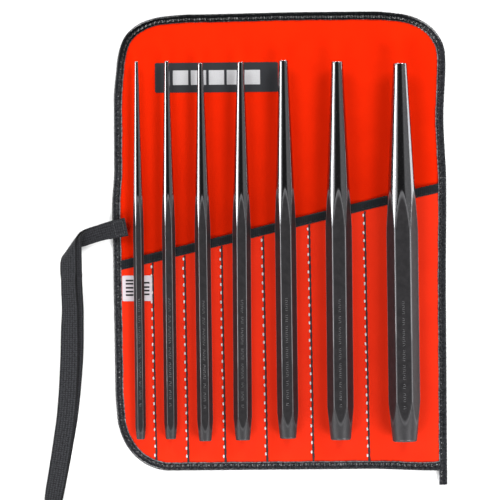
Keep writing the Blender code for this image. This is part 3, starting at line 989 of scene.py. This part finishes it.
def add_punch(number, steel):
    """Hexagonal bar with a long ground taper to its point and a short one to its struck end."""
    low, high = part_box(f"taper_punch_{number}")
    across_flats = high.z - low.z
    corners = 2 * across_flats / sqrt(3)
    angles = np.radians([60 * side + angle for side in range(6) for angle in SECTOR_ANGLES])
    rings = list(punch_rings(across_flats, corners, POINT_DIAMETERS[number - 1], angles))
    heights, radii, ground, worn = (
        np.array([np.broadcast_to(ring[part], angles.shape) for ring in rings]) for part in range(4)
    )
    along = np.array(SLIDES[number - 1]["axis"], float)
    side = np.array([along[1], -along[0], 0.0])
    origin = np.array((low + high) / 2) - along * PUNCH_LENGTH / 2
    points = origin + heights[..., None] * along + (radii * np.sin(angles))[..., None] * side
    points[..., 2] += radii * np.cos(angles)
    around = np.append(angles, tau - pi / 6) * across_flats / 2
    flat = np.stack(np.meshgrid(around, heights[:, 0]), axis=-1) / MM
    punch = add_tubes(f"punch_body_{number}", [(points, flat)], steel)
    finish_steel(punch, number, ground, worn)
    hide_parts(f"taper_punch_{number}")
    add_marks(number, origin + UP * across_flats / 2, along, side, across_flats, steel)


def add_marks(number, origin, along, side, across_flats, steel):
    """A row of plain slanted ticks struck into the top flat, in place of lettering."""
    seats = []
    place = MARKS_START
    for group in TICK_GROUPS:
        for tick in range(group):
            slant = 0.45 * ((tick * 7 + group * 3 + number) % 5 - 2) / 2
            seats.append((origin + along * place, side + along * slant))
            place += TICK_STEP
        place += TICK_GAP
    size = min(0.3 * across_flats, 1.9 * MM)
    marks = add_strokes(f"punch_marks_{number}", seats, size, 0.14 * MM, steel, TICK_SHAPE, 0.45)
    finish_steel(marks, number, 0.0, 0.35)


# -------- the tie strap

STRAP_LENGTH = 0.5
LAYER_STEP = 1.5 * MM
ANCHOR_PITCH = 2.2 * MM

# Both tails leave the anchor flat and roll over once at a slant: the strap turns down the page and
# lies with its other side up. Rows are in millimetres and degrees: the middle of the tail that is
# on top there, its lean, and how far the other tail shows on its inner side.
ROUTE_IN_MM = [
    (-105.3, 16.6, 5.5, 0, 0.0),
    (-110.0, 15.7, 5.5, 0, 0.0),
    (-114.8, 14.7, 5.3, 0, 0.0),
    (-119.5, 13.7, 4.0, 0, 0.0),
    (-123.6, 12.6, 3.1, 0, 0.0),
    (-126.0, 11.95, 2.9, 0, 0.0),
]
ROLL_OVER_AT = Vector((-134.4, 9.3, 2.9)) * MM
ROLL_OVER_RADIUS = 3.0 * MM
TURN_GATHER = 0.12
TURN_REACH = 60.0 * MM
HEADING_IN = radians(-162.5)
ROLL_OVER_AXIS = radians(-126.0)
ROUTE_OUT_MM = [
    (-145.5, -19.0, 9.0, 20, 3.9),
    (-145.3, -28.0, 7.4, 20, 3.8),
    (-144.8, -40.0, 5.5, 18, 3.5),
    (-145.1, -52.0, 4.4, 14, 3.4),
    (-145.3, -64.0, 3.8, 11, 3.3),
    (-145.7, -77.0, 3.4, 8, 3.0),
    (-146.4, -90.0, 3.0, 5, 2.6),
    (-147.3, -103.0, 2.7, 2, 2.2),
    (-148.6, -116.0, 2.5, 0, 1.8),
    (-150.6, -129.5, 2.5, 0, 1.4),
    (-152.8, -143.5, 2.5, 0, 1.0),
    (-155.3, -158.0, 2.7, 3, 0.6),
    (-157.7, -171.0, 4.4, 20, 0.2),
    (-159.3, -181.0, 7.4, 60, 0.0),
    (-160.0, -191.0, 8.0, 90, 0.0),
]
COIL_CENTRE_MM = (-135.0, -205.0)
COIL_RADIUS_MM = 25.0
COIL_PITCH_MM = 6.0
COIL_STEPS = 40


def catmull_rom(rows, steps):
    """Rows of numbers on a smooth curve through the given rows."""
    rows = np.asarray(rows, float)
    padded = np.vstack([rows[0], rows, rows[-1]])
    found = []
    for a, b, c, d in zip(padded, padded[1:], padded[2:], padded[3:]):
        for share in np.arange(steps) / steps:
            found.append(0.5 * (
                2 * b
                + (c - a) * share
                + (2 * a - 5 * b + 4 * c - d) * share**2
                + (3 * b - a - 3 * c + d) * share**3
            ))
    return np.array(found + [rows[-1]])


def roll_over(layer, along, across, above):
    """A point of a tail near its turn: flat until the axis, half round it, and back on top."""
    radius = ROLL_OVER_RADIUS + layer * LAYER_STEP
    heading = Vector((cos(HEADING_IN), sin(HEADING_IN)))
    axis = Vector((cos(ROLL_OVER_AXIS), sin(ROLL_OVER_AXIS)))
    out = Vector((axis.y, -axis.x))
    spot = heading * along + Vector((heading.y, -heading.x)) * across
    past = spot.dot(out)
    turn = min(max(past / radius, 0.0), pi)
    reach = (radius - above) * sin(turn) + min(past, 0.0) - max(past - pi * radius, 0.0)
    flat = axis * spot.dot(axis) + out * reach
    height = ROLL_OVER_RADIUS - (radius - above) * cos(turn)
    return ROLL_OVER_AT + Vector((*flat, height))


def gathered(section, distance):
    """The webbing's section at a distance from its turn: drawn narrower close by, standing for the way
    it cups.
    """
    share = 1 - TURN_GATHER * (1 - float(smoothstep(4 * MM, TURN_REACH, distance)))
    return [(u * share, v) for u, v in section]


def section_ring(centre, across, up, section):
    return [centre + across * u + up * v for u, v in section]


def framed_stations(route, layer, flipped):
    """Centre, width direction and upward direction of a tail at each row of a route."""
    stations = []
    for index, (*place, lean, shift) in enumerate(route):
        before = route[max(index - 1, 0)]
        after = route[min(index + 1, len(route) - 1)]
        travel = Vector((after[0] - before[0], after[1] - before[1], 0)).normalized()
        outward = travel.cross(UP)
        angle = radians(lean)
        up = UP * cos(angle) + outward * sin(angle)
        across = outward * cos(angle) - UP * sin(angle)
        centre = Vector(place) * MM
        if layer != flipped:
            centre -= up * LAYER_STEP + across * shift * MM
        sign = -1 if flipped else 1
        stations.append((centre, across * sign, up * sign))
    return stations


def coil_route():
    """The far stretch, wound into a loose roll that stands on edge."""
    rest_z = STRAP_WIDTH / 2 / MM + 0.35
    x, y = COIL_CENTRE_MM
    rows = [(x - COIL_RADIUS_MM, y + 6.0, rest_z + 0.5, 90, 0)]
    for step in range(4 * COIL_STEPS):
        angle = tau * step / COIL_STEPS
        radius = COIL_RADIUS_MM - COIL_PITCH_MM * step / COIL_STEPS
        rows.append((x - radius * cos(angle), y - radius * sin(angle), rest_z, 90, 0))
    return rows


def strap_rings(layer, section):
    """Centres and rings of one tail: layer 0 is on top at the anchor, and 1 below it."""
    half = STRAP_WIDTH / 2 * (1 - TURN_GATHER)
    slant = ROLL_OVER_AXIS - HEADING_IN
    heading_out = 2 * ROLL_OVER_AXIS - HEADING_IN
    direction = Vector((cos(heading_out), sin(heading_out)))
    widest = ROLL_OVER_RADIUS + LAYER_STEP
    end = (pi * widest + half * cos(slant)) / sin(slant)
    last = roll_over(1, end, 0.0, 0.0)
    if layer == 0:
        end -= pi * LAYER_STEP * sin(slant)
    start = -half / tan(slant) - 0.3 * MM

    before = catmull_rom(ROUTE_IN_MM, 4)
    stations = framed_stations(before, layer, False)
    centres = [centre for centre, _, _ in stations]
    rings = []
    for centre, across, up in stations:
        here = gathered(section, (centre.x - ROUTE_IN_MM[-1][0] * MM) * 4)
        rings.append(section_ring(centre, across, up, here))
    narrow = gathered(section, 0.0)
    for along in np.linspace(start, end, 56):
        centres.append(roll_over(layer, along, 0.0, 0.0))
        rings.append([roll_over(layer, along, u, v) for u, v in narrow])
    lead = [
        (*((last.xy + direction * step * MM) / MM), last.z / MM, 0, 3.75) for step in (-6.0, 0.0)
    ]
    after = np.vstack([
        catmull_rom([*lead, *ROUTE_OUT_MM], 5)[6:],
        catmull_rom([ROUTE_OUT_MM[-1], *coil_route()], 2)[1:],
    ])
    for centre, across, up in framed_stations(after, layer, True):
        centres.append(centre)
        rings.append(section_ring(centre, across, up, gathered(section, -centre.y - 8 * MM)))
    return centres, rings


def strap_section():
    """The webbing's outline: its edges are round and slightly thicker than its middle."""
    half_width = STRAP_WIDTH / 2
    half = STRAP_THICKNESS / 2
    upper = [(half_width, 0.0), (half_width - 0.12 * MM, 0.6 * half), (half_width - 0.4 * MM, half)]
    upper += [(half_width * share, 0.9 * half) for share in (0.8, 0.5, 0.2, -0.2, -0.5, -0.8)]
    upper += [(0.4 * MM - half_width, half), (0.12 * MM - half_width, 0.6 * half)]
    return upper + [(-across, -above) for across, above in upper]


def add_tail(name, layer, material, nodes):
    section = strap_section()
    centres, rings = strap_rings(layer, section)
    distances = travelled(centres)
    count = int(np.searchsorted(distances, STRAP_LENGTH))
    flat = np.stack(np.meshgrid(travelled(section + section[:1]), distances[:count]), -1) / MM
    tail = add_tubes(name, [(rings[:count], flat[..., ::-1])], material)
    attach(tail, "panel_1")
    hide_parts(*nodes)


def add_strap(thread):
    # One webbing in two tones: the upper tail's darker colour is painted shade, and the lower tail's
    # lighter colour is painted light.
    upper = make_webbing("webbing_upper_painted_shade", (0.003, 0.003, 0.0038), (0.021, 0.0215, 0.025))
    lower = make_webbing("webbing_lower_painted_light", (0.004, 0.0042, 0.005), (0.028, 0.029, 0.033))
    add_tail("tie_tail_upper", 0, upper, ["tie_strap_upper", "tie_strap_roll"])
    add_tail("tie_tail_lower", 1, lower, ["tie_strap_lower"])
    add_anchor_stitches(thread)


def add_anchor_stitches(thread):
    """A box of stitches that holds the strap's end to the binding."""
    start, end = (Vector(ROUTE_IN_MM[row][:3]) * MM for row in (0, 2))
    travel = (end - start).normalized()
    across = travel.cross(UP)
    start += UP * (STRAP_THICKNESS / 2 + 0.05 * MM)
    corners = [
        start + (travel * u + across * v) * MM
        for u, v in ((1.3, -4.6), (7.6, -4.6), (7.6, 4.6), (1.3, 4.6))
    ]
    seats = []
    for first, second in zip(corners, corners[1:] + corners[:1]):
        count = round((second - first).length / ANCHOR_PITCH)
        for stitch in range(count):
            seats.append((first.lerp(second, (stitch + 0.5) / count), second - first))
    add_stitches("anchor_stitches", seats, 1.9 * MM, 0.24 * MM, thread, "webbing", panel=1)


# -------- studio


def add_light(name, place, size, power):
    """A rectangular light that faces the middle of the roll."""
    light = bpy.data.lights.new(name, "AREA")
    light.shape = "RECTANGLE"
    light.size, light.size_y = size
    light.energy = power
    thing = place_object(name, light)
    thing.location = place
    thing.rotation_euler = (-Vector(place)).to_track_quat("-Z", "Y").to_euler()
    thing.visible_camera = False


def add_studio():
    """A pale floor between soft lights, under a sky that is dark overhead. The narrow light at the
    left is the one that shines from the tapers; the others stand off the punches' own axis."""
    look = Look("pale_floor", Roughness=0.8, Specular_IOR_Level=0.1, Base_Color=(0.9, 0.9, 0.9))
    size = 3.0
    corners = [(-size, -size, 0), (size, -size, 0), (size, size, 0), (-size, size, 0)]
    add_mesh("floor", corners, [(0, 1, 2, 3)], [(0, 0)] * 4, look.owner)
    add_light("left_strip", (-1.35, 0.0, 0.57), (0.8, 0.5), 7.0)
    add_light("near_right_box", (1.15, -1.35, 1.2), (1.0, 1.0), 52.0)
    add_light("far_right_box", (1.15, 1.35, 1.2), (1.0, 1.0), 44.0)
    add_light("near_left_box", (-0.85, -1.6, 1.3), (1.0, 0.8), 37.0)
    add_light("far_left_box", (-0.85, 1.6, 1.3), (1.0, 0.8), 37.0)

    sky = Look("studio", "worlds", "Background", "Generated", Color=(1.0, 1.0, 1.0))
    right = sky.ramp(sky.x, 0.015, 0.24, 0.35, 0.55)
    left = sky.ramp(sky.x, 1.1, 0.0, -0.82, -0.54)
    sky.fill(sky.shader, dict(Strength=sky.times(left, sky.rise(sky.z, 0.1, 0.22), right)))
    bpy.context.scene.world = sky.owner
    bpy.context.scene.view_settings.view_transform = "Standard"


def main():
    add_camera()
    add_studio()
    dark_thread = make_thread("dark_thread", (0.003, 0.003, 0.004))
    grey_thread = make_thread("grey_thread", (0.032, 0.033, 0.037))
    seam_thread = make_thread("seam_thread", (0.004, 0.004, 0.008))
    white_thread = make_thread("white_thread", (0.70, 0.66, 0.66))
    add_strap(grey_thread)
    add_sheets()
    add_hem(make_hem_tape())
    add_hem_stitches(dark_thread)
    add_bindings(make_tape(), dark_thread)
    add_seams(seam_thread, white_thread)
    add_patch()
    add_label()
    steel = make_steel()
    for number in range(1, PANELS + 1):
        add_punch(number, steel)


main()
